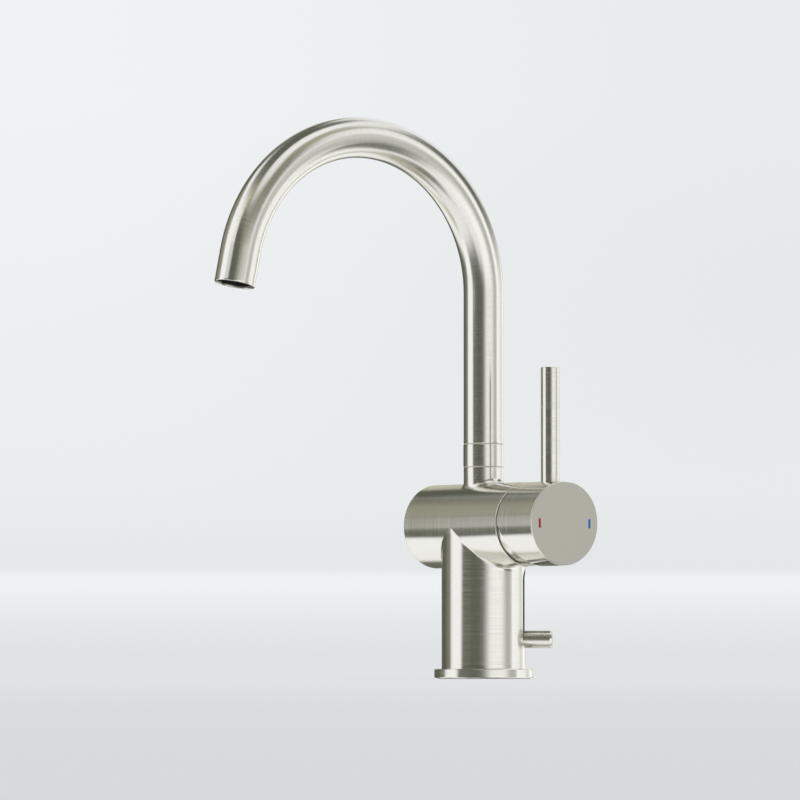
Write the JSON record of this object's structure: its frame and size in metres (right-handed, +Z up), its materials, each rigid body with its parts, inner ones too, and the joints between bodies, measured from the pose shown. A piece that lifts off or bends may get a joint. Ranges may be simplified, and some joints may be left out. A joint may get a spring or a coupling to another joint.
{
  "type": "single-lever basin mixer",
  "caption": "Basin mixer in brushed nickel: upright column, crossing barrel with a side cap and rod lever, swivelling swan-neck spout, pull pin for the waste.",
  "frame": {"origin": "middle of the foot, on the basin's surface under the base gasket", "axes": "+Z up along the column, +X along the barrel towards the handle, the spout reaches out along -Y at rest"},
  "size_m": [0.1062, 0.1902, 0.2782],
  "materials": {
    "brushed_nickel": "brushed round the axis, satin",
    "brass": "turned",
    "steel": "plain",
    "copper_tube": "drawn",
    "black_plastic": "matt",
    "white_plastic": "moulded",
    "grey_plastic": "moulded",
    "ceramic": "lapped",
    "rubber": "matt",
    "red_enamel": "gloss",
    "blue_enamel": "gloss"
  },
  "bodies": {
    "root": {"body_shell": "brushed_nickel", "base_flange": "brushed_nickel", "base_gasket": "rubber", "port_block": "brass", "inlet_tube_hot": "copper_tube", "inlet_tube_cold": "copper_tube", "tube_seals": "rubber", "waterway_block": "brass", "outlet_sleeve": "brass", "sleeve_seal": "rubber", "cartridge_base": "white_plastic", "port_seals": "rubber", "fixed_disc": "ceramic", "cartridge_housing": "grey_plastic", "retaining_nut": "brushed_nickel", "lower_washer": "white_plastic", "stop_screw": "steel", "slot_liner": "black_plastic", "rod_guide_bush": "white_plastic"},
    "spout": {"spout_tube": "brushed_nickel", "spout_nipple": "brass", "nipple_seals": "rubber", "swivel_collar": "brushed_nickel", "upper_washer": "white_plastic", "aerator_ring": "black_plastic", "aerator_insert": "black_plastic", "aerator_screen": "steel", "aerator_gasket": "rubber"},
    "mixer": {"rotor": "white_plastic", "pivot_pin": "steel"},
    "disc": {"moving_disc": "ceramic", "disc_carrier": "white_plastic"},
    "lever": {"lever_stem": "brass", "lever_cap": "brushed_nickel", "lever_rod": "brushed_nickel", "lever_screw": "steel", "red_mark": "red_enamel", "blue_mark": "blue_enamel"},
    "pull": {"pull_pin": "brushed_nickel", "slide_block": "brass", "pull_rod": "steel"}
  },
  "joints": [
    {"name": "spout_swivel", "type": "hinge", "parent": "root", "child": "spout", "pos_m": [0, 0, 0.11], "axis": [0, 0, 1], "range_deg": [-60, 60]},
    {"name": "mixer_turn", "type": "hinge", "parent": "root", "child": "mixer", "pos_m": [0.0325, 0, 0.0767], "axis": [1, 0, 0], "range_deg": [-45, 45]},
    {"name": "lever_tilt", "type": "hinge", "parent": "mixer", "child": "lever", "pos_m": [0.0325, 0, 0.0767], "axis": [0, 1, 0], "range_deg": [0, 25]},
    {"name": "disc_slide", "type": "slide", "parent": "mixer", "child": "disc", "axis": [0, 0, 1], "range_m": [0, 0.00371]},
    {"name": "pull_lift", "type": "slide", "parent": "root", "child": "pull", "axis": [0, 0, 1], "range_m": [0, 0.031]}
  ],
  "couplings": [
    {"joint": "disc_slide", "follows": "lever_tilt", "m_per_rad": 0.0083297}
  ]
}
